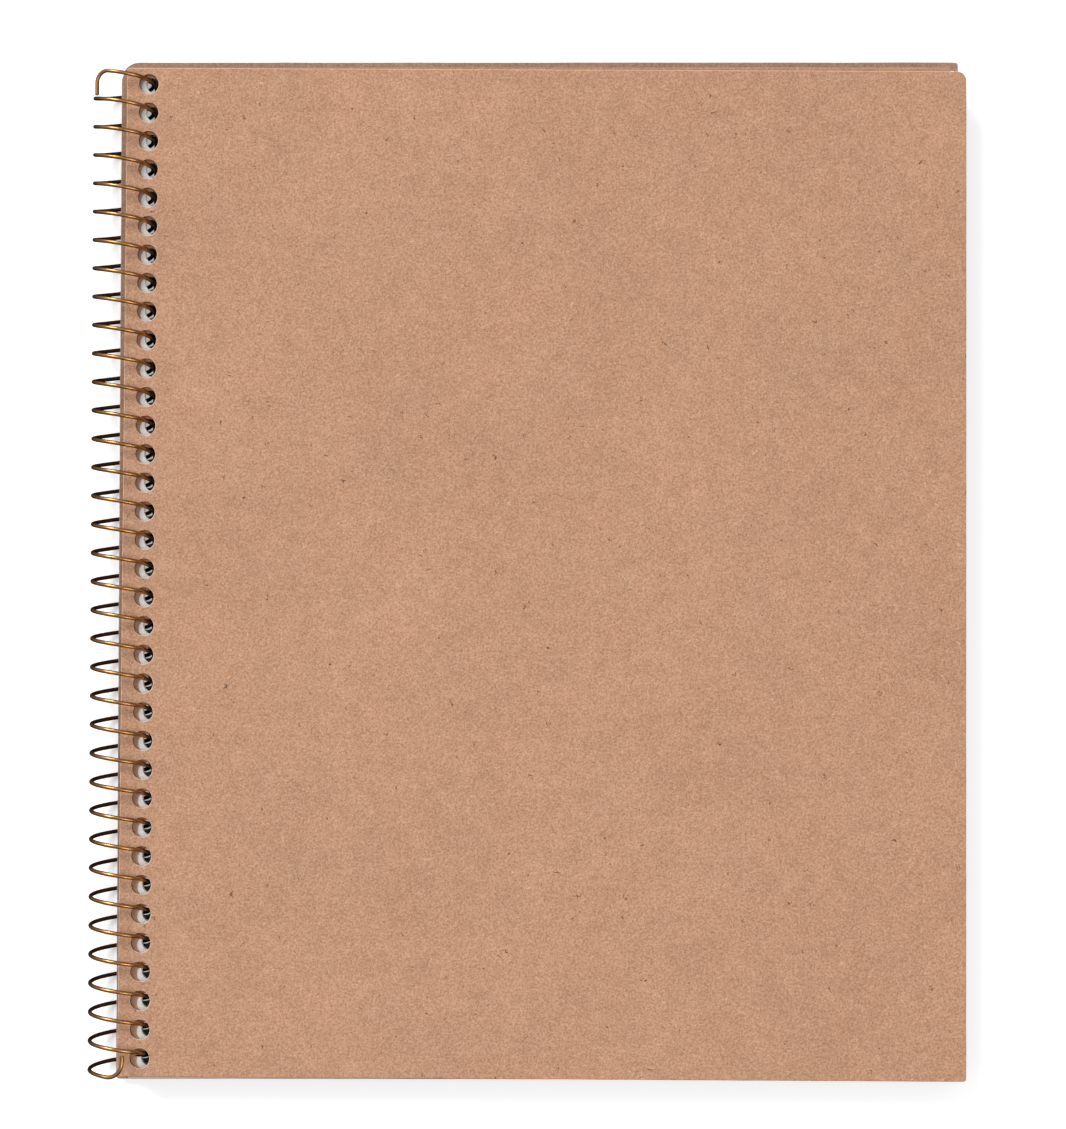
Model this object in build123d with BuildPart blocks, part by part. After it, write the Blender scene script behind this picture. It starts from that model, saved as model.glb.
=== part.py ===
from build123d import *
from math import acos, asin, cos, degrees, pi, radians, sin
import os

# Spiral-bound sketchbook, lying closed on its back cover, in millimetres.
# +X runs from the spine to the fore edge, +Y along the spine to the head, +Z up.
# The origin is under the middle of the book, on the surface it lies on.

# ---- leaves ----
cover_width = 233.4
cover_height = 279.4
cover_thickness = 1.6
flyleaf_thickness = 0.25
sheet_thickness = 0.16
sheet_count = 50
fore_margin = 4.8  # the sheets are this much narrower than the front cover
back_extra_height = 5.0  # the back cover is cut larger than the front one
back_extra_width = 1.6
worn_corner_radius = 2.6  # the front cover's corner at the head of the fore edge
rounded_corner_radius = 3.4  # the back cover's corner at the head of the spine
corner_radius = 0.8

# ---- punching ----
hole_pitch = 7.9375
hole_play = 0.33  # room in a hole beyond the wire and the flyleaf's half-turn travel
row_end_margin = 4.7  # least distance from the last hole's centre to the end of a cover
front_hole_inset = 6.1  # hole centre to spine edge
back_hole_inset = 6.6
front_row_rise = 0.26  # the row's middle, above the middle of its own leaf
back_row_fall = 0.94
sheet_row_rise = 1.1
flyleaf_row_fall = 0.9

# ---- coil ----
wire_diameter = 1.1
ring_slack = 3.65  # room inside the coil beyond the stack's thickness
under_gap = 0.75  # from the coil's lowest wire up to the back cover
top_bend_radius = 3.2  # where each end of the wire is turned in along the spine
bottom_bend_radius = 4.4
top_bend_angle = 64.0  # round the coil from its outermost line, where the first turn starts
bottom_bend_angle = 70.0
tail_gap = 0.3  # between a turned-in end and the turn that it points at

# ---- how the loose leaves lie on the wire ----
wire_rise_in_front_hole = 1.5  # towards the head, at the front cover's outer face
wire_drift = 0.15  # how far the wire moves along a cover's hole in half a turn
front_hole_lead = 0.22  # towards the fore edge, from the wire at the cover's outer face
back_hole_lag = 0.28  # towards the spine, from the wire at the cover's mid-thickness
front_skew = 0.25  # degrees, clockwise seen from above
flyleaf_lean = 0.3  # towards the fore edge
top_sheet_lean = 1.4
bottom_sheet_lean = 0.1
sheet_rise = 0.3  # the sheets' holes above the front cover's, towards the head
sheet_wander = 0.08  # how unevenly the sheets are knocked up
front_fall = 0.9  # the front cover's middle below the back cover's

# ---- sizes that follow ----
hole_diameter = hole_pitch / 2 + wire_diameter + hole_play
stack_thickness = 2 * cover_thickness + flyleaf_thickness + sheet_count * sheet_thickness
wire_radius = wire_diameter / 2
coil_radius = (stack_thickness + ring_slack + wire_diameter) / 2
axis_z = coil_radius + wire_radius
hole_count = int((cover_height - 2 * row_end_margin) / hole_pitch) + 1
row_half = hole_pitch * (hole_count - 1) / 2
half_turn_play = (hole_pitch / 2 - wire_drift) / 2

sheet_width = cover_width - fore_margin
sheet_height = cover_height
back_width = cover_width + back_extra_width
back_height = cover_height + back_extra_height

# ---- levels, from the surface that the book lies on ----
back_level = wire_diameter + under_gap
sheets_level = back_level + cover_thickness
flyleaf_level = sheets_level + sheet_count * sheet_thickness
front_level = flyleaf_level + flyleaf_thickness
front_face_level = front_level + cover_thickness

row_y = front_row_rise - front_fall


def wire_angle(level):
    """How far above the coil's axis the wire crosses a level, in radians, on the leaves' side."""
    return asin((level - axis_z) / coil_radius)


def wire_reach(level):
    """Distance from the coil's axis to the wire where it crosses a level."""
    return coil_radius * cos(wire_angle(level))


def wire_y(level):
    """The wire's place along the spine where it crosses a level, for the middle of the row."""
    turned = wire_angle(front_face_level) - wire_angle(level)
    return row_y + wire_rise_in_front_hole - hole_pitch * turned / (2 * pi)


front_hole_reach = wire_reach(front_face_level) + front_hole_lead
back_hole_reach = wire_reach(back_level + cover_thickness / 2) - back_hole_lag
spine_x = (coil_radius + wire_radius - (front_hole_reach - front_hole_inset + cover_width)) / 2

os.makedirs("parts", exist_ok=True)


def punch_holes():
    """Cut one round hole for each turn of the coil, in a row through the sketch's origin."""
    with GridLocations(0, hole_pitch, 1, hole_count):
        Circle(hole_diameter / 2, mode=Mode.SUBTRACT)


# ---- front cover: thick kraft board, a little askew on the coil ----
skew = radians(front_skew)
front_plane = Plane(
    origin=(spine_x + front_hole_reach, row_y, front_level),
    x_dir=(cos(skew), -sin(skew), 0),
    z_dir=(0, 0, 1),
)
with BuildPart() as front_cover:
    with BuildSketch(front_plane):
        with Locations((cover_width / 2 - front_hole_inset, -front_row_rise)):
            outline = Rectangle(cover_width, cover_height)
        corners = outline.vertices().sort_by(lambda corner: corner.X + corner.Y)
        fillet(corners[-1], worn_corner_radius)
        fillet(corners[:-1], corner_radius)
        punch_holes()
    extrude(amount=cover_thickness)

front_cover.part.label = "front_cover"
export_step(front_cover.part, "parts/front_cover.step")

# ---- back cover: the same board, cut larger all round ----
with BuildPart() as back_cover:
    with BuildSketch(Plane((spine_x + back_hole_reach, -back_row_fall, back_level))):
        with Locations((back_width / 2 - back_hole_inset, back_row_fall)):
            outline = Rectangle(back_width, back_height)
        corners = outline.vertices().sort_by(lambda corner: corner.Y - corner.X)
        fillet(corners[-1], rounded_corner_radius)
        fillet(corners[:-1], corner_radius)
        punch_holes()
    extrude(amount=cover_thickness)

back_cover.part.label = "back_cover"
export_step(back_cover.part, "parts/back_cover.step")

# ---- kraft flyleaf: the first leaf, which slides along the coil as the front cover opens ----
flyleaf_middle = flyleaf_level + flyleaf_thickness / 2
flyleaf_hole_x = spine_x + wire_reach(flyleaf_middle) + flyleaf_lean
flyleaf_row_y = wire_y(flyleaf_middle) - half_turn_play
with BuildPart() as flyleaf:
    with BuildSketch(Plane((flyleaf_hole_x, flyleaf_row_y, flyleaf_level))):
        with Locations((sheet_width / 2 - front_hole_inset, flyleaf_row_fall)):
            Rectangle(sheet_width, sheet_height)
        punch_holes()
    extrude(amount=flyleaf_thickness)

flyleaf.part.label = "flyleaf"
export_step(flyleaf.part, "parts/flyleaf.step")

# ---- drawing sheets, numbered from the front ----
for number in range(1, sheet_count + 1):
    depth = (number - 1) / (sheet_count - 1)
    level = flyleaf_level - number * sheet_thickness
    middle = level + sheet_thickness / 2
    lean = top_sheet_lean + (bottom_sheet_lean - top_sheet_lean) * depth
    hole_x = spine_x + wire_reach(middle) + lean + sheet_wander * sin(2.4 * number)
    hole_row_y = row_y + sheet_rise + sheet_wander * sin(1.7 * number)
    if number == sheet_count:
        # the last sheet slides the other way along the coil, as the back cover folds under
        hole_row_y = wire_y(middle) + half_turn_play
    with BuildPart() as sheet:
        with BuildSketch(Plane((hole_x, hole_row_y, level))):
            with Locations((sheet_width / 2 - front_hole_inset, -sheet_row_rise)):
                Rectangle(sheet_width, sheet_height)
            punch_holes()
        extrude(amount=sheet_thickness)
    name = f"sheet_{number:02d}"
    sheet.part.label = name
    export_step(sheet.part, f"parts/{name}.step")


# ---- spiral coil: one wire through every hole, with both ends turned in along the spine ----
def turned_corner(start, along, onto, radius):
    """Where an arc of this radius ends, if it leaves start along one direction and turns onto the other."""
    inward = (onto - along * along.dot(onto)).normalized()
    onward = (along - onto * onto.dot(along)).normalized()
    return start + (inward + onward) * radius


head_row_y = row_y + row_half
tail_row_y = row_y - row_half
front_hole_angle = 180 - degrees(wire_angle(front_face_level))
first_crossing_y = head_row_y + wire_rise_in_front_hole
last_crossing_y = tail_row_y + wire_rise_in_front_hole
coil_start_y = first_crossing_y + hole_pitch * (front_hole_angle - top_bend_angle) / 360
coil_end_angle = 360 * hole_count + bottom_bend_angle
coil_length = hole_pitch * (coil_end_angle - top_bend_angle) / 360

spine_axis = Axis((spine_x, 0, axis_z), (0, 1, 0))
turns = Helix(
    pitch=hole_pitch,
    height=coil_length,
    radius=coil_radius,
    center=(spine_x, coil_start_y, axis_z),
    direction=(0, -1, 0),
    lefthand=True,
).rotate(spine_axis, top_bend_angle + 90)

to_foot = Vector(0, -1, 0)
to_head = Vector(0, 1, 0)
top_bend_end = turned_corner(turns @ 0, -(turns % 0), to_foot, top_bend_radius)
bottom_bend_end = turned_corner(turns @ 1, turns % 1, to_head, bottom_bend_radius)
top_tail_angle = degrees(acos((spine_x - top_bend_end.X) / coil_radius))
next_turn_y = coil_start_y - hole_pitch * (1 - (top_bend_angle - top_tail_angle) / 360)
top_tail_end_y = next_turn_y + wire_radius + tail_gap
bottom_tail_angle = degrees(acos((spine_x - bottom_bend_end.X) / coil_radius))
bottom_tail_end_y = (
    last_crossing_y
    + hole_pitch * (front_hole_angle - bottom_tail_angle) / 360
    - wire_diameter
    - tail_gap
)
with BuildPart() as spiral_coil:
    with BuildLine() as coil_line:
        add(turns)
    with BuildSketch(Plane(origin=turns @ 0, z_dir=turns % 0)):
        Circle(wire_radius)
    sweep(path=coil_line.line)

# the springy ends are parts of their own, because they give way to a cover as it passes
with BuildPart() as head_tail:
    with BuildLine() as head_line:
        straight = Line((top_bend_end.X, top_tail_end_y, top_bend_end.Z), top_bend_end)
        TangentArc(straight @ 1, turns @ 0, tangent=to_head)
    with BuildSketch(Plane(origin=straight @ 0, z_dir=to_head)):
        Circle(wire_radius)
    sweep(path=head_line.line)

with BuildPart() as foot_tail:
    with BuildLine() as foot_line:
        arc = TangentArc(turns @ 1, bottom_bend_end, tangent=turns % 1)
        Line(arc @ 1, (bottom_bend_end.X, bottom_tail_end_y, bottom_bend_end.Z))
    with BuildSketch(Plane(origin=turns @ 1, z_dir=turns % 1)):
        Circle(wire_radius)
    sweep(path=foot_line.line)

lines = {"spiral_coil": coil_line, "head_tail": head_line, "foot_tail": foot_line}
solids = {"spiral_coil": spiral_coil, "head_tail": head_tail, "foot_tail": foot_tail}
print("volume of each piece of wire over its length times its section:")
for name, solid in solids.items():
    solid.part.label = name
    export_step(solid.part, f"parts/{name}.step")
    wire_length = sum(edge.length for edge in lines[name].edges())
    print(name, solid.part.volume / (wire_length * pi * wire_radius**2), solid.part.is_valid)
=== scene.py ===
from math import acos, ceil, cos, degrees, pi, radians, sin

import bmesh
import bpy
from mathutils import Matrix, Vector, noise


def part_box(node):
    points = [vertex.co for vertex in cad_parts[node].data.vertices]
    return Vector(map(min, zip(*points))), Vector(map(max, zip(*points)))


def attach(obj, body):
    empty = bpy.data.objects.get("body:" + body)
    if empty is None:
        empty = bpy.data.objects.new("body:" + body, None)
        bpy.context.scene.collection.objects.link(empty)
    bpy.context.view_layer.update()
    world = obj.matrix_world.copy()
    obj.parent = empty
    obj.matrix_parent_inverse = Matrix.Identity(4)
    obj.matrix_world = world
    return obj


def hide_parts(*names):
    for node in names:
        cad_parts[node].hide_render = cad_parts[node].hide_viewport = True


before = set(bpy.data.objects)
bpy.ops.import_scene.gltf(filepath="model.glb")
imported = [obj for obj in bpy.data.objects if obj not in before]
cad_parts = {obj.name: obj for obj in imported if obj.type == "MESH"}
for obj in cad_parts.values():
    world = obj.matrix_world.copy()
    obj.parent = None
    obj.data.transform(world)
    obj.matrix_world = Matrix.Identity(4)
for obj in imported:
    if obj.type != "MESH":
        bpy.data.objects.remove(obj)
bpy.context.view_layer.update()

# Spiral-bound sketchbook, closed. +X runs from the spine to the fore edge, +Y to the head.
# Everything is in metres, in the frame of the CAD nodes.

MM = 0.001

# Blender seeds this noise by the clock, so without a seed every run would wander differently.
noise.seed_set(7)

# ---- leaves ----
COVER_SIZE = (233.4 * MM, 279.4 * MM)
COVER_SKEW = radians(0.25)  # clockwise seen from above
COVER_INSET = 6.1 * MM  # hole centre to spine edge
BACK_INSET = 6.6 * MM
COVER_ROW_RISE = 0.26 * MM  # the hole row's middle above the middle of its leaf
SHEET_ROW_RISE = 1.1 * MM
FLYLEAF_ROW_RISE = -0.9 * MM
BACK_ROW_RISE = -0.94 * MM
HOLE_PITCH = 7.9375 * MM
HOLE_COUNT = 35
HOLE_RADIUS = 2.7 * MM
HOLE_BLOCK = 3.4 * MM  # half the side of the square of faces round each hole
CORNER = 0.8 * MM
WORN_CORNER = 2.6 * MM  # the front cover, at the head of the fore edge
ROUND_CORNER = 5.0 * MM  # the back cover, at the head of the spine
SHEET_COUNT = 50
FRONT_CRUSH = 0.34 * MM  # how far the covers' edges are crushed round
BACK_CRUSH = 0.25 * MM
CRUSH_STEPS = 3
SAME_LINE = 0.02 * MM  # lines of a leaf's grid that are nearer than this are one
WANDER_CELL = 9 * MM  # how far apart the bends of a cut edge are

# ---- coil ----
WIRE_RADIUS = 0.55 * MM
COIL_RADIUS = 8.1 * MM
WIRE_RISE = 1.5 * MM  # from a front hole's centre to the wire, at the cover's outer face
HEAD_BEND = 3.2 * MM
FOOT_BEND = 4.4 * MM
HEAD_ANGLE = radians(64.0)  # round the coil from its outermost line, where the first turn starts
FOOT_ANGLE = radians(70.0)
TAIL_GAP = 0.05 * MM  # from a turned-in end to the turn that it points at
COIL_STEP = 7.5  # degrees between two rings of the wire's mesh
BEND_STEPS = 12
TAIL_STEPS = 6
WIRE_SIDES = 18
WIRE_END_DOME = [(0.0, 0.62), (0.1, 0.86), (0.3, 1.0)]  # along and across, in wire radii

# ---- looks ----
BOARD_PLIES = 2600.0  # the scale of the layers on a cut edge, from face to face
PAPER_PLIES = 5000.0
HOLE_SHADE_START = 10.8 * MM  # painted shade: the hole walls in the pages get darker from this level down
HOLE_SHADE_FULL = 6.5 * MM

# ---- floor, light and camera ----
FLOOR_HALF = 40.0
KEY_AT = (-2.1, 2.5, 2.95)
OVERHEAD_AT = (1.2, -0.9, 2.3)
GLOW_FROM = (-0.35, 0.35, 0.87)  # the side of the sky that is brightest
CAMERA_AT = (0.00747, -0.0360, 0.94317)
CAMERA_AIM = (0.00167, 0.00055, 0.0133)
CAMERA_LENS = 107.3
CAMERA_ROLL = radians(0.04)  # anticlockwise about its own line of sight


# ---------------------------------------------------------------- leaf meshes
def spaced(low, high, count):
    """Evenly spaced values from low to high, both included."""
    return [low + (high - low) * i / count for i in range(count + 1)]


def merged(*runs):
    """The values of several runs in order, without repeats."""
    values = []
    for value in sorted(v for run in runs for v in run):
        if not values or value - values[-1] > SAME_LINE:
            values.append(value)
    return values


def rounded(x, y, low, high, radii):
    """Moves a point of a corner's square onto the rounded corner, ring by ring."""
    for (side_x, side_y), radius in radii.items():
        corner_x = high.x if side_x > 0 else low.x
        corner_y = high.y if side_y > 0 else low.y
        u = 1 - side_x * (corner_x - x) / radius
        v = 1 - side_y * (corner_y - y) / radius
        if u > 0 and v > 0:
            ring = max(u, v)
            turn = pi / 4 * v / u if v <= u else pi / 2 - pi / 4 * u / v
            x = corner_x - side_x * radius * (1 - ring * cos(turn))
            y = corner_y - side_y * radius * (1 - ring * sin(turn))
    return x, y


def leaf_mesh(name, low, high, radii, sides, rings, columns, wander, seed):
    """A punched leaf. The hole row lies on x = 0 with its middle at y = 0.

    low and high are its lowest and highest corners. Each hole sits in a square block whose
    sides have as many faces as sides says, and rings of faces run from the square to the hole.
    """
    rows = [HOLE_PITCH * (i - (HOLE_COUNT - 1) / 2) for i in range(HOLE_COUNT)]
    xs = merged(
        spaced(low.x, low.x + CORNER, 3),
        spaced(low.x + CORNER, -HOLE_BLOCK, 3),
        spaced(-HOLE_BLOCK, HOLE_BLOCK, sides),
        spaced(HOLE_BLOCK, high.x - WORN_CORNER, columns),
        spaced(high.x - WORN_CORNER, high.x, 6),
    )
    ys = merged(
        spaced(low.y, low.y + CORNER, 3),
        spaced(high.y - CORNER, high.y, 3),
        *[spaced(row - HOLE_BLOCK, row + HOLE_BLOCK, sides) for row in rows],
    )
    column = {round(x / MM, 4): i for i, x in enumerate(xs)}
    line = {round(y / MM, 4): i for i, y in enumerate(ys)}
    left, right = column[round(-HOLE_BLOCK / MM, 4)], column[round(HOLE_BLOCK / MM, 4)]
    blocks = [(line[round((row - HOLE_BLOCK) / MM, 4)], row) for row in rows]
    inside = set()
    for bottom, _ in blocks:
        inside.update((i, j) for i in range(left, right) for j in range(bottom, bottom + sides))

    mesh = bmesh.new()

    def strayed(x, y):
        """A point of the outline or of a hole's rim, a little off its true line."""
        at = Vector((x, y, seed)) / WANDER_CELL
        push = noise.noise_vector(at) + 0.5 * noise.noise_vector(at * 4)
        return x + push.x * wander, y + push.y * wander

    def flat(x, y):
        return rounded(x, y, low, high, radii)

    def vertex(point, z):
        return mesh.verts.new((point[0], point[1], z))

    layers = []
    for z in (low.z, high.z):
        grid = {}
        for i, x in enumerate(xs):
            for j, y in enumerate(ys):
                edge = i in (0, len(xs) - 1) or j in (0, len(ys) - 1)
                hidden = any(left < i < right and b < j < b + sides for b, _ in blocks)
                if not hidden:
                    point = flat(x, y)
                    grid[i, j] = vertex(strayed(*point) if edge else point, z)
        rims = []
        for bottom, row in blocks:
            loop = [(left + k, bottom) for k in range(sides)]
            loop += [(right, bottom + k) for k in range(sides)]
            loop += [(right - k, bottom + sides) for k in range(sides)]
            loop += [(left, bottom + sides - k) for k in range(sides)]
            outer = [grid[key] for key in loop]
            for ring in range(1, rings + 1):
                share = ring / rings
                inner = []
                for k, key in enumerate(loop):
                    turn = -3 * pi / 4 + 2 * pi * k / len(loop)
                    rim_x, rim_y = HOLE_RADIUS * cos(turn), row + HOLE_RADIUS * sin(turn)
                    x = xs[key[0]] + (rim_x - xs[key[0]]) * share
                    y = ys[key[1]] + (rim_y - ys[key[1]]) * share
                    inner.append(vertex(strayed(x, y) if ring == rings else (x, y), z))
                for k in range(len(loop)):
                    after = (k + 1) % len(loop)
                    mesh.faces.new((outer[k], outer[after], inner[after], inner[k]))
                outer = inner
            rims.append(outer)
        for i in range(len(xs) - 1):
            for j in range(len(ys) - 1):
                if (i, j) not in inside:
                    mesh.faces.new((grid[i, j], grid[i + 1, j], grid[i + 1, j + 1], grid[i, j + 1]))
        last_i, last_j = len(xs) - 1, len(ys) - 1
        outline = [grid[i, 0] for i in range(last_i)]
        outline += [grid[last_i, j] for j in range(last_j)]
        outline += [grid[last_i - i, last_j] for i in range(last_i)]
        outline += [grid[0, last_j - j] for j in range(last_j)]
        layers.append([outline] + rims)
    for loop_below, loop_above in zip(*layers):
        for k in range(len(loop_below)):
            after = (k + 1) % len(loop_below)
            mesh.faces.new(
                (loop_below[k], loop_below[after], loop_above[after], loop_above[k])
            )
    bmesh.ops.recalc_face_normals(mesh, faces=mesh.faces)
    data = bpy.data.meshes.new(name)
    mesh.to_mesh(data)
    mesh.free()
    return data


def placed(name, data, where, turn=0.0):
    """A new object in the scene, turned about +Z."""
    piece = bpy.data.objects.new(name, data)
    bpy.context.scene.collection.objects.link(piece)
    piece.location = where
    piece.rotation_euler = (0.0, 0.0, turn)
    return piece


def softened(piece, width):
    """Crushed edges, all round and at the rims of the holes."""
    bevel = piece.modifiers.new("Crushed edges", "BEVEL")
    bevel.width = width
    bevel.segments = CRUSH_STEPS
    bevel.limit_method = "ANGLE"
    bevel.angle_limit = radians(50)
    bevel.harden_normals = False
    for face in piece.data.polygons:
        face.use_smooth = True
    weighted = piece.modifiers.new("Flat faces", "WEIGHTED_NORMAL")
    weighted.keep_sharp = True


def middle_of(low, high):
    return (low + high) / 2


def leaf(name, node, inset, row_rise, radii, settings):
    """A leaf that lies square in the frame, in the place of its CAD node."""
    low, high = (Vector(corner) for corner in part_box(node))
    row = Vector((low.x + inset, middle_of(low, high).y + row_rise, 0))
    data = leaf_mesh(name, low - row, high - row, radii, **settings)
    return placed(name, data, row)


# ---------------------------------------------------------------- coil mesh
def swept(name, path, radius, around):
    """A round wire along a path of points, with slightly domed ends."""
    mesh = bmesh.new()
    tangents = []
    for k in range(len(path)):
        before, after = path[max(k - 1, 0)], path[min(k + 1, len(path) - 1)]
        tangents.append((after - before).normalized())
    across = tangents[0].orthogonal().normalized()

    def ring(centre, tangent, size):
        side = tangent.cross(across).normalized()
        turns = [2 * pi * k / around for k in range(around)]
        return [
            mesh.verts.new(centre + (across * cos(turn) + side * sin(turn)) * size)
            for turn in turns
        ]

    def joined(first, second):
        for k in range(around):
            after = (k + 1) % around
            mesh.faces.new((first[k], first[after], second[after], second[k]))

    rings = []
    for k, (centre, tangent) in enumerate(zip(path, tangents)):
        across = (across - tangent * across.dot(tangent)).normalized()
        if k == 0:
            rings += [
                ring(centre + tangent * radius * a, tangent, radius * s) for a, s in WIRE_END_DOME
            ]
        elif k == len(path) - 1:
            rings += [
                ring(centre - tangent * radius * a, tangent, radius * s)
                for a, s in reversed(WIRE_END_DOME)
            ]
        else:
            rings.append(ring(centre, tangent, radius))
    for first, second in zip(rings, rings[1:]):
        joined(first, second)
    mesh.faces.new(rings[0][::-1])
    mesh.faces.new(rings[-1])
    bmesh.ops.recalc_face_normals(mesh, faces=mesh.faces)
    data = bpy.data.meshes.new(name)
    mesh.to_mesh(data)
    mesh.free()
    for face in data.polygons:
        face.use_smooth = True
    return data


def bend(start, along, onto, radius, steps):
    """Points of an arc that leaves start along one direction and turns onto another."""
    inward = (onto - along * along.dot(onto)).normalized()
    whole = acos(along.dot(onto))
    turns = [whole * k / steps for k in range(1, steps + 1)]
    return [
        start + along * radius * sin(turn) + inward * radius * (1 - cos(turn)) for turn in turns
    ]


def coil_axis():
    """Where the coil's axis stands, in X and Z."""
    coil_low = Vector(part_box("spiral_coil")[0])
    return coil_low.x + COIL_RADIUS + WIRE_RADIUS, coil_low.z + COIL_RADIUS + WIRE_RADIUS


def coil_path(front_row_y, front_level):
    """The wire's centre line, from its turned-in end at the head to the one at the foot."""
    spine_x, axis_z = coil_axis()
    half_row = HOLE_PITCH * (HOLE_COUNT - 1) / 2
    crossing = pi / 2 + acos((front_level - axis_z) / COIL_RADIUS)
    head_crossing_y = front_row_y + half_row + WIRE_RISE

    def at(angle):
        return Vector((
            spine_x - COIL_RADIUS * cos(angle),
            head_crossing_y - HOLE_PITCH * (angle - crossing) / (2 * pi),
            axis_z + COIL_RADIUS * sin(angle),
        ))

    def heading(angle):
        rise = Vector((
            COIL_RADIUS * sin(angle), -HOLE_PITCH / (2 * pi), COIL_RADIUS * cos(angle)
        ))
        return rise.normalized()

    end_angle = 2 * pi * HOLE_COUNT + FOOT_ANGLE
    steps = ceil(degrees(end_angle - HEAD_ANGLE) / COIL_STEP)
    turns = [at(HEAD_ANGLE + (end_angle - HEAD_ANGLE) * k / steps) for k in range(steps + 1)]
    to_foot, to_head = Vector((0, -1, 0)), Vector((0, 1, 0))

    head_bend = bend(turns[0], -heading(HEAD_ANGLE), to_foot, HEAD_BEND, BEND_STEPS)
    head_angle = acos((spine_x - head_bend[-1].x) / COIL_RADIUS)
    next_turn_y = turns[0].y - HOLE_PITCH * (1 - (HEAD_ANGLE - head_angle) / (2 * pi))
    head_end = Vector((head_bend[-1].x, next_turn_y + WIRE_RADIUS + TAIL_GAP, head_bend[-1].z))

    foot_bend = bend(turns[-1], heading(end_angle), to_head, FOOT_BEND, BEND_STEPS)
    foot_angle = acos((spine_x - foot_bend[-1].x) / COIL_RADIUS)
    last_turn_y = head_crossing_y - 2 * half_row + HOLE_PITCH * (crossing - foot_angle) / (2 * pi)
    foot_end_y = last_turn_y - 2 * WIRE_RADIUS - TAIL_GAP
    foot_end = Vector((foot_bend[-1].x, foot_end_y, foot_bend[-1].z))
    head_tail = [head_end.lerp(head_bend[-1], k / TAIL_STEPS) for k in range(TAIL_STEPS + 1)]
    foot_tail = [foot_bend[-1].lerp(foot_end, k / TAIL_STEPS) for k in range(1, TAIL_STEPS + 1)]
    return head_tail + head_bend[-2::-1] + turns + foot_bend + foot_tail


# ---------------------------------------------------------------- materials
class Look:
    """A Principled material with short calls for its nodes."""

    def __init__(self, name):
        self.material = bpy.data.materials.new(name)
        self.material.use_nodes = True
        self.tree = self.material.node_tree
        self.shader = self.tree.nodes["Principled BSDF"]
        coordinates = self.add("TexCoord")
        self.place = coordinates.outputs["Object"]
        self.normal = coordinates.outputs["Normal"]

    def add(self, kind, inputs=None, **settings):
        made = self.tree.nodes.new("ShaderNode" + kind)
        for key, value in settings.items():
            setattr(made, key, value)
        for key, value in (inputs or {}).items():
            self.feed(made.inputs[key], value)
        return made

    def feed(self, socket, value):
        if isinstance(value, bpy.types.NodeSocket):
            self.tree.links.new(value, socket)
        else:
            socket.default_value = value

    def math(self, operation, first, second=0.0):
        made = self.add("Math", operation=operation)
        self.feed(made.inputs[0], first)
        self.feed(made.inputs[1], second)
        return made.outputs[0]

    def noise(self, scale, detail=2.0, roughness=0.5, place=None):
        made = self.add(
            "TexNoise",
            {
                "Vector": place or self.place,
                "Scale": scale,
                "Detail": detail,
                "Roughness": roughness,
            },
        )
        return made.outputs["Fac"]

    def ramp(self, value, low, high, to_low=0.0, to_high=1.0):
        made = self.add("MapRange", {0: value, 1: low, 2: high, 3: to_low, 4: to_high})
        return made.outputs[0]

    def mix(self, share, first, second, blend="MIX"):
        made = self.add("Mix", data_type="RGBA", blend_type=blend)
        self.feed(made.inputs[0], share)
        self.feed(made.inputs[6], first)
        self.feed(made.inputs[7], second)
        return made.outputs[2]

    def turned(self, angle, stretch, shift=(0.0, 0.0, 0.0)):
        """Coordinates turned about Z and stretched, for strokes that run one way."""
        straight = self.add(
            "Mapping", {"Vector": self.place, "Rotation": (0.0, 0.0, angle), "Location": shift}
        ).outputs[0]
        return self.add("Mapping", {"Vector": straight, "Scale": stretch}).outputs[0]

    def flecks(self, angle, cell, size, share, shift):
        """Scattered strokes or specks: 1 inside one, 0 elsewhere.

        cell is the size of the plane's cells along and across the strokes, size the radius
        of a fleck in cells, and share how many of the cells hold one.
        """
        place = self.turned(angle, (1 / cell[0], 1 / cell[1], 0.0), shift)
        ragged = self.add("TexNoise", {"Vector": self.place, "Scale": 900.0}).outputs[1]
        bent = self.add("VectorMath", {0: place, 1: ragged}, operation="ADD").outputs[0]
        cells = self.add("TexVoronoi", {"Vector": bent, "Scale": 1.0}, voronoi_dimensions="2D")
        pick = self.add("SeparateColor", {0: cells.outputs["Color"]}).outputs
        chosen = self.math("LESS_THAN", pick[0], share)
        radius = self.ramp(pick[1], 0.0, 1.0, size * 0.55, size)
        inner = self.math("MULTIPLY", radius, 0.6)
        within = self.ramp(cells.outputs["Distance"], radius, inner)
        return self.math("MULTIPLY", chosen, within)

    def edge(self, start, end):
        """From 0 on a leaf's flat faces to 1 on its cut edge, by how far the surface turns."""
        upright = self.math("ABSOLUTE", self.add("SeparateXYZ", {0: self.normal}).outputs[2])
        return self.ramp(upright, start, end)

    def key_facing(self):
        """From 0 to 1, how far the surface looks to the head and the spine, towards the key lamp;
        it places the painted highlight and the painted shade on the edges.
        """
        side = self.add(
            "VectorMath", {0: self.normal, 1: (-0.71, 0.71, 0.0)}, operation="DOT_PRODUCT"
        )
        return self.ramp(side.outputs["Value"], -0.15, 0.3)

    def bump(self, height, strength, distance):
        made = self.add("Bump", {"Height": height, "Strength": strength, "Distance": distance})
        self.feed(self.shader.inputs["Normal"], made.outputs[0])


def rgb(red, green, blue):
    return (red, green, blue, 1.0)


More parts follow.
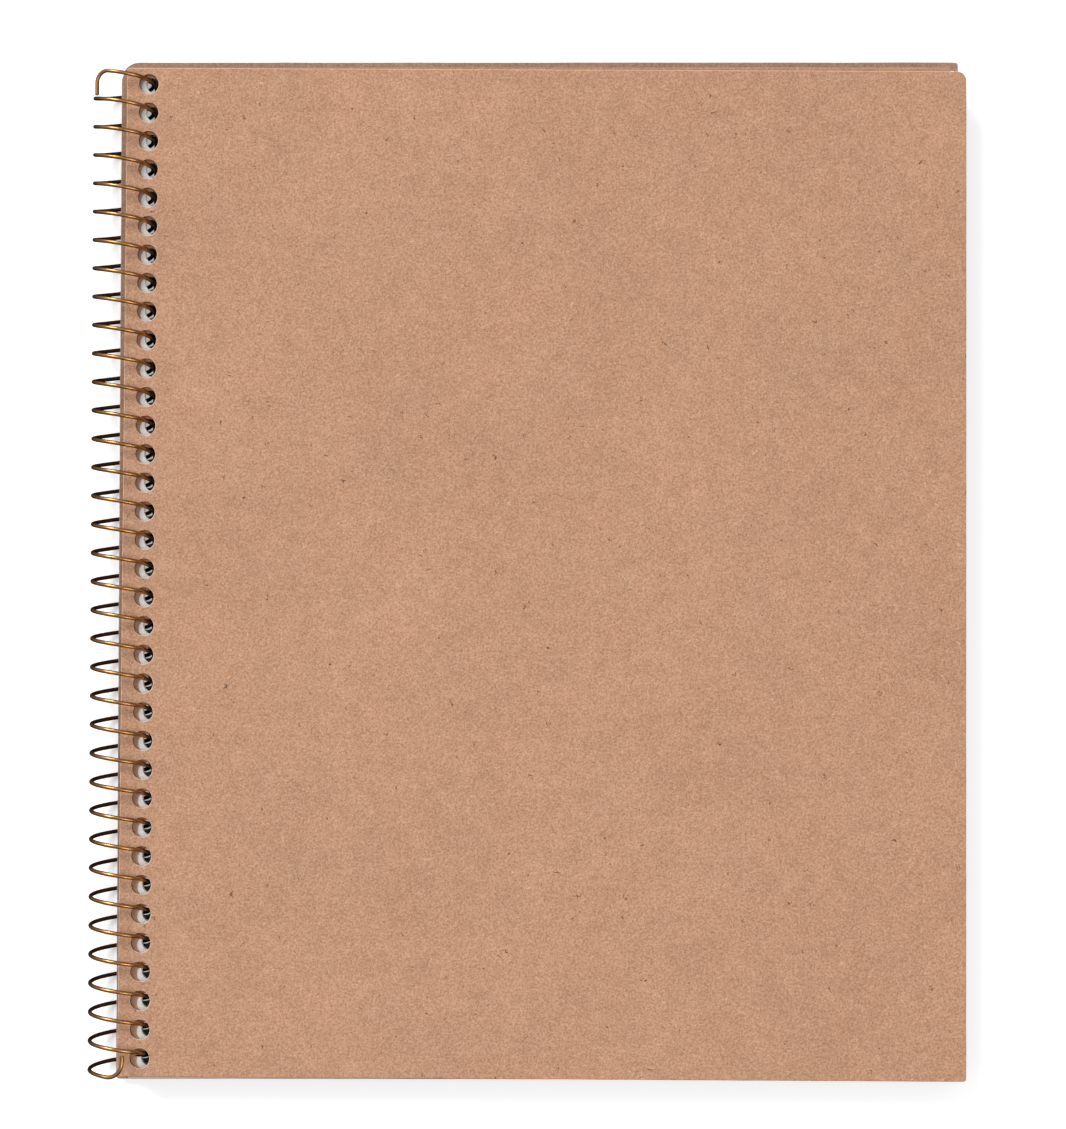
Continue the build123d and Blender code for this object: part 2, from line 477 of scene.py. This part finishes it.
def kraft(name, base, contrast, speck_share, pale_edge_and_highlight, layered):
    """Unbleached board or paper: cloudy pulp, fine grain, fibres, and dark and pale specks."""
    look = Look(name)
    clouds = look.noise(22.0, 3.0, 0.55)
    patches = look.noise(190.0, 3.0, 0.6)
    grain = look.noise(1900.0, 2.0, 0.8)
    tone = look.math("MULTIPLY_ADD", clouds, 0.22)
    tone.node.inputs[2].default_value = 0.89
    patchy = 0.07 * contrast
    tone = look.math("MULTIPLY", tone, look.ramp(patches, 0.25, 0.75, 1 - patchy, 1 + patchy))
    weights = (0.30 * contrast, 0.36 * contrast, 0.44 * contrast)
    low_pulp = rgb(*(b * (1 - w) for b, w in zip(base, weights)))
    high_pulp = rgb(*(b * (1 + w) for b, w in zip(base, weights)))
    pulp = look.mix(look.ramp(grain, 0.28, 0.72), low_pulp, high_pulp)
    tones = look.add("CombineColor", {0: tone, 1: tone, 2: tone}).outputs[0]
    colour = look.mix(1.0, pulp, tones, "MULTIPLY")

    # redder and yellower drifts in the pulp
    elsewhere = look.turned(0.6, (1, 1, 1), (3.1, 1.7, 0.0))
    drift = look.ramp(look.noise(60.0, 2.0, 0.5, elsewhere), 0.35, 0.65)
    redder = look.mix(1.0, colour, rgb(1.03, 0.965, 0.93), "MULTIPLY")
    colour = look.mix(look.math("MULTIPLY", drift, 0.35), colour, redder)

    pale = rgb(min(base[0] * 1.5, 0.9), base[1] * 1.75, base[2] * 2.0)
    dark = rgb(base[0] * 0.55, base[1] * 0.48, base[2] * 0.42)
    # the dark speck colour also serves as painted shade on the edges that face away from the head
    # and the spine
    speck_and_shade = rgb(base[0] * 0.16, base[1] * 0.14, base[2] * 0.12)
    strokes = []
    for k, angle in enumerate((0.15, 1.1, 1.9, 2.75)):
        shift = (0.37 * k, 0.53 * k, 0.0)
        strokes.append(look.flecks(angle, (9.0 * MM, 1.3 * MM), 0.16, 0.5, shift))
        colour = look.mix(look.math("MULTIPLY", strokes[-1], 0.3), colour, pale)
        shift = (0.37 * k + 4.0, 0.53 * k + 2.0, 0.0)
        shadowed = look.flecks(angle + 0.5, (8.0 * MM, 1.1 * MM), 0.14, 0.45, shift)
        colour = look.mix(look.math("MULTIPLY", shadowed, 0.36), colour, dark)
    chips = look.flecks(0.4, (5.2 * MM, 3.6 * MM), 0.075, 0.16, (7.0, 1.0, 0.0))
    colour = look.mix(look.math("MULTIPLY", chips, 0.75), colour, pale)
    dots = look.flecks(0.9, (4.2 * MM, 3.4 * MM), 0.095, speck_share, (1.0, 9.0, 0.0))
    colour = look.mix(look.math("MULTIPLY", dots, 0.85), colour, speck_and_shade)
    faint = look.flecks(2.1, (2.9 * MM, 2.3 * MM), 0.1, 0.2, (5.0, 5.0, 0.0))
    colour = look.mix(look.math("MULTIPLY", faint, 0.35), colour, dark)

    # crushed, paler fibres along the edges, made brighter as painted highlight on the edges that
    # face the head and the spine, painted shade on the edges that face away, and the layers of the
    # cut
    rim = look.edge(0.998, 0.93)
    key_facing = look.key_facing()
    uneven = look.ramp(look.noise(500.0, 3.0, 0.6), 0.3, 0.6, 0.55, 1.0)
    wear_and_lit_share = look.math("MULTIPLY", rim, uneven)
    wear_and_lit_share = look.math("MULTIPLY", wear_and_lit_share, key_facing)
    # painted highlight: the pale edge colour goes only onto edges that face the key lamp; the paler
    # crushed fibres are the real part
    colour = look.mix(wear_and_lit_share, colour, pale_edge_and_highlight)
    cut = look.edge(0.6, 0.25)
    flattened = look.add("Mapping", {"Vector": look.place, "Scale": (300.0, 300.0, layered)})
    plies = look.noise(1.0, 3.0, 0.6, flattened.outputs[0])
    ply_colour = rgb(base[0], base[1] * 1.1, base[2] * 1.2)
    layers = look.mix(look.ramp(plies, 0.35, 0.65), dark, ply_colour)
    colour = look.mix(look.math("MULTIPLY", cut, 0.75), colour, layers)
    # painted shade: cut edges and bevels that face away from the head and the spine are darkened
    # towards the speck colour
    painted_edge_shade = look.math("MULTIPLY", look.edge(0.9, 0.4), look.math("SUBTRACT", 1.0, key_facing))
    colour = look.mix(look.math("MULTIPLY", painted_edge_shade, 0.7), colour, speck_and_shade)
    look.feed(look.shader.inputs["Base Color"], colour)

    look.feed(look.shader.inputs["Roughness"], look.ramp(grain, 0.3, 0.7, 0.92, 0.72))
    look.shader.inputs["Specular IOR Level"].default_value = 0.28
    height = look.math("MULTIPLY", grain, 0.5)
    height = look.math("ADD", height, look.math("MULTIPLY", patches, 0.6))
    for stroke in strokes:
        height = look.math("ADD", height, look.math("MULTIPLY", stroke, 0.35))
    height = look.math("ADD", height, look.math("MULTIPLY", plies, look.math("MULTIPLY", cut, 1.5)))
    look.bump(height, 0.55, 0.12 * MM)
    return look.material


def paper(name):
    """White drawing paper with a fine tooth, and soft fibre ends on its cut edge."""
    look = Look(name)
    tooth = look.noise(2600.0, 3.0, 0.7)
    felt = look.noise(420.0, 3.0, 0.6)
    clouds = look.noise(30.0, 2.0, 0.5)
    tone = look.ramp(clouds, 0.3, 0.7, 0.97, 1.02)
    tone = look.math("MULTIPLY", tone, look.ramp(tooth, 0.25, 0.75, 0.96, 1.03))
    tinted = look.add("CombineColor", {0: tone, 1: tone, 2: tone}).outputs[0]
    colour = look.mix(1.0, rgb(0.80, 0.785, 0.75), tinted, "MULTIPLY")
    fibres = look.flecks(0.7, (6.0 * MM, 1.0 * MM), 0.12, 0.3, (2.0, 3.0, 0.0))
    colour = look.mix(look.math("MULTIPLY", fibres, 0.10), colour, rgb(0.62, 0.58, 0.52))
    cut = look.edge(0.9, 0.4)
    dusty = look.ramp(look.noise(900.0, 2.0, 0.6), 0.3, 0.7, 0.72, 1.0)
    dust = look.add("CombineColor", {0: dusty, 1: dusty, 2: dusty}).outputs[0]
    dusted = look.mix(1.0, colour, dust, "MULTIPLY")
    colour = look.mix(cut, colour, dusted)
    parts = look.add("SeparateXYZ", {0: look.place}).outputs
    # painted shade: near the punched holes the cut walls of the lower sheets get darker with depth,
    # down to near black
    punched = look.math("LESS_THAN", look.math("ABSOLUTE", parts[0]), HOLE_RADIUS * 1.1)
    depth = look.ramp(parts[2], HOLE_SHADE_START, HOLE_SHADE_FULL, 0.0, 0.85)
    painted_hole_shade = look.math("MULTIPLY", look.math("MULTIPLY", punched, cut), depth)
    colour = look.mix(painted_hole_shade, colour, rgb(0.05, 0.045, 0.04))
    look.feed(look.shader.inputs["Base Color"], colour)
    look.feed(look.shader.inputs["Roughness"], look.ramp(tooth, 0.3, 0.7, 0.95, 0.8))
    look.shader.inputs["Specular IOR Level"].default_value = 0.3
    height = look.math("ADD", look.math("MULTIPLY", tooth, 0.6), look.math("MULTIPLY", felt, 0.8))
    look.bump(height, 0.4, 0.08 * MM)
    return look.material


def bronze(name, spine_x, axis_z):
    """Bronze-coated wire in two cloudy bronze tones with dark flecks, painted near black as painted
    shade on the sides that face into the coil.
    """
    look = Look(name)
    parts = look.add("SeparateXYZ", {0: look.place}).outputs
    across = look.math("SUBTRACT", parts[0], spine_x)
    above = look.math("SUBTRACT", parts[2], axis_z)
    radial = look.add("CombineXYZ", {0: across, 1: 0.0, 2: above}).outputs[0]
    outward = look.add("VectorMath", {0: radial}, operation="NORMALIZE").outputs[0]
    facing = look.add("VectorMath", {0: look.normal, 1: outward}, operation="DOT_PRODUCT")
    cloudy = look.noise(260.0, 4.0, 0.65)
    worn_and_lit = look.math("ADD", facing.outputs["Value"], look.ramp(cloudy, 0.3, 0.7, -0.35, 0.35))
    wear_and_lit_share = look.ramp(worn_and_lit, -0.25, 0.75)
    fine = look.noise(5200.0, 2.0, 0.6)
    bright = look.mix(
        look.ramp(cloudy, 0.35, 0.65), rgb(0.46, 0.21, 0.062), rgb(0.60, 0.31, 0.115)
    )
    # painted shade: the sides of the wire that face into the coil are painted near black, with a
    # cloudy boundary
    colour = look.mix(wear_and_lit_share, rgb(0.085, 0.036, 0.016), bright)
    colour = look.mix(look.ramp(fine, 0.55, 0.75, 0.0, 0.35), colour, rgb(0.15, 0.065, 0.026))
    look.feed(look.shader.inputs["Base Color"], colour)
    look.shader.inputs["Metallic"].default_value = 1.0
    polish = look.ramp(wear_and_lit_share, 0.0, 1.0, 0.46, 0.27)
    rough = look.math("ADD", polish, look.ramp(fine, 0.3, 0.7, -0.04, 0.1))
    look.feed(look.shader.inputs["Roughness"], rough)
    look.bump(look.math("ADD", fine, look.math("MULTIPLY", cloudy, 0.6)), 0.25, 0.03 * MM)
    return look.material


# ---------------------------------------------------------------- pieces
# each edge colour below is paler than its face, for crushed fibres, and is also painted highlight
# on the edges that face the key lamp
kraft_board = kraft(
    "kraft_board",
    base=rgb(0.482, 0.269, 0.166),
    contrast=1.05,
    speck_share=0.13,
    pale_edge_and_highlight=rgb(0.95, 0.70, 0.57),
    layered=BOARD_PLIES,
)
# painted shade: the back cover is the front cover's kraft made darker and a little greyer, for the
# shade it lies in under the front cover and the coil
shaded_back_kraft = kraft(
    "kraft_board_painted_shade",
    base=rgb(0.385, 0.226, 0.142),
    contrast=1.0,
    speck_share=0.1,
    pale_edge_and_highlight=rgb(0.62, 0.43, 0.33),
    layered=BOARD_PLIES,
)
kraft_paper = kraft(
    "kraft_paper",
    base=rgb(0.47, 0.265, 0.165),
    contrast=0.8,
    speck_share=0.05,
    pale_edge_and_highlight=rgb(0.60, 0.40, 0.29),
    layered=PAPER_PLIES,
)
drawing_paper = paper("drawing_paper")
bronze_wire = bronze("bronze_wire", *coil_axis())

board = {"sides": 8, "rings": 2, "columns": 30, "wander": 0.05 * MM}
thin = {"sides": 6, "rings": 1, "columns": 6, "wander": 0.02 * MM}


def finished(piece, material, slot, body, *nodes):
    piece.data.materials.append(material)
    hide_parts(*nodes)
    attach(piece, body)


# front cover
low, high = (Vector(corner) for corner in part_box("front_cover"))
half = Vector((COVER_SIZE[0] / 2, COVER_SIZE[1] / 2, 0))
hole_row = Vector((COVER_INSET - half.x, COVER_ROW_RISE, 0))
corners = {(-1, -1): CORNER, (1, -1): CORNER, (-1, 1): CORNER, (1, 1): CORNER}
data = leaf_mesh(
    "front_board",
    -half - hole_row + Vector((0, 0, low.z)),
    half - hole_row + Vector((0, 0, high.z)),
    {**corners, (1, 1): WORN_CORNER},
    seed=1.0,
    **board,
)
turn = Matrix.Rotation(-COVER_SKEW, 3, "Z")
where = middle_of(low, high) + turn @ hole_row
where.z = 0
front_board = placed("front_board", data, where, -COVER_SKEW)
front_row_y = where.y
front_face = high.z
softened(front_board, FRONT_CRUSH)
finished(front_board, kraft_board, "kraft_board", "front_board", "front_cover")

# back cover
back_board = leaf(
    "back_board",
    "back_cover",
    BACK_INSET,
    BACK_ROW_RISE,
    {**corners, (-1, 1): ROUND_CORNER},
    dict(board, seed=2.0),
)
softened(back_board, BACK_CRUSH)
finished(back_board, shaded_back_kraft, "kraft_board", "back_board", "back_cover")

# flyleaf and drawing sheets
settings = dict(thin, seed=3.0)
first_leaf = leaf("kraft_leaf", "flyleaf", COVER_INSET, FLYLEAF_ROW_RISE, {}, settings)
finished(first_leaf, kraft_paper, "kraft_paper", "first_leaf", "flyleaf")
for number in range(1, SHEET_COUNT + 1):
    node = f"sheet_{number:02d}"
    settings = dict(thin, seed=3.0 + number)
    page = leaf(f"page_{number:02d}", node, COVER_INSET, SHEET_ROW_RISE, {}, settings)
    body = "last_leaf" if number == SHEET_COUNT else "book_block"
    finished(page, drawing_paper, "drawing_paper", body, node)

# coil
data = swept("coil_wire", coil_path(front_row_y, front_face), WIRE_RADIUS, WIRE_SIDES)
wire = placed("coil_wire", data, (0, 0, 0))
finished(wire, bronze_wire, "bronze_wire", "book_block", "spiral_coil", "head_tail", "foot_tail")

# ---------------------------------------------------------------- floor, light and camera
floor_data = bpy.data.meshes.new("floor")
mesh = bmesh.new()
bmesh.ops.create_grid(mesh, x_segments=8, y_segments=8, size=FLOOR_HALF)
mesh.to_mesh(floor_data)
mesh.free()
floor = placed("floor", floor_data, (0, 0, 0))
look = Look("floor")
look.shader.inputs["Base Color"].default_value = rgb(0.93, 0.93, 0.93)
look.shader.inputs["Roughness"].default_value = 1.0
look.shader.inputs["Specular IOR Level"].default_value = 0.0
look.shader.inputs["Emission Color"].default_value = rgb(1.0, 1.0, 1.0)
look.shader.inputs["Emission Strength"].default_value = 0.42
floor_data.materials.append(look.material)
floor.visible_diffuse = False
floor.visible_glossy = False


def lamp(name, size, power, where, colour=(1.0, 1.0, 1.0)):
    """A round soft lamp that is aimed at the middle of the floor."""
    light = bpy.data.lights.new(name, "AREA")
    light.shape = "DISK"
    light.size = size
    light.energy = power
    light.color = colour
    made = placed(name, light, where)
    made.rotation_euler = (-Vector(where)).to_track_quat("-Z", "Y").to_euler()


lamp("key", 2.3, 142.0, KEY_AT, (1.0, 0.985, 0.965))
lamp("overhead", 1.6, 24.0, OVERHEAD_AT)

world = bpy.data.worlds.new("studio")
bpy.context.scene.world = world
world.use_nodes = True
sky = world.node_tree
way = sky.nodes.new("ShaderNodeTexCoord").outputs["Generated"]
towards = sky.nodes.new("ShaderNodeVectorMath")
towards.operation = "DOT_PRODUCT"
towards.inputs[1].default_value = GLOW_FROM
sky.links.new(way, towards.inputs[0])
glow = sky.nodes.new("ShaderNodeMapRange")
for socket, value in zip(glow.inputs[1:5], (-0.35, 0.9, 0.03, 0.55)):
    socket.default_value = value
sky.links.new(towards.outputs["Value"], glow.inputs[0])
background = sky.nodes["Background"]
background.inputs[0].default_value = rgb(0.96, 0.97, 1.0)
sky.links.new(glow.outputs[0], background.inputs[1])

view = bpy.data.cameras.new("view")
view.lens = CAMERA_LENS
view.sensor_width = 36.0
camera = placed("view", view, CAMERA_AT)
away = (camera.location - Vector(CAMERA_AIM)).normalized()
level = Vector((cos(CAMERA_ROLL), sin(CAMERA_ROLL), 0.0))
right = (level.cross(away).cross(away) * -1).normalized()  # level, made square to away
upward = away.cross(right)
camera.rotation_euler = Matrix((right, upward, away)).transposed().to_euler()
bpy.context.scene.camera = camera
bpy.context.scene.view_settings.view_transform = "Standard"
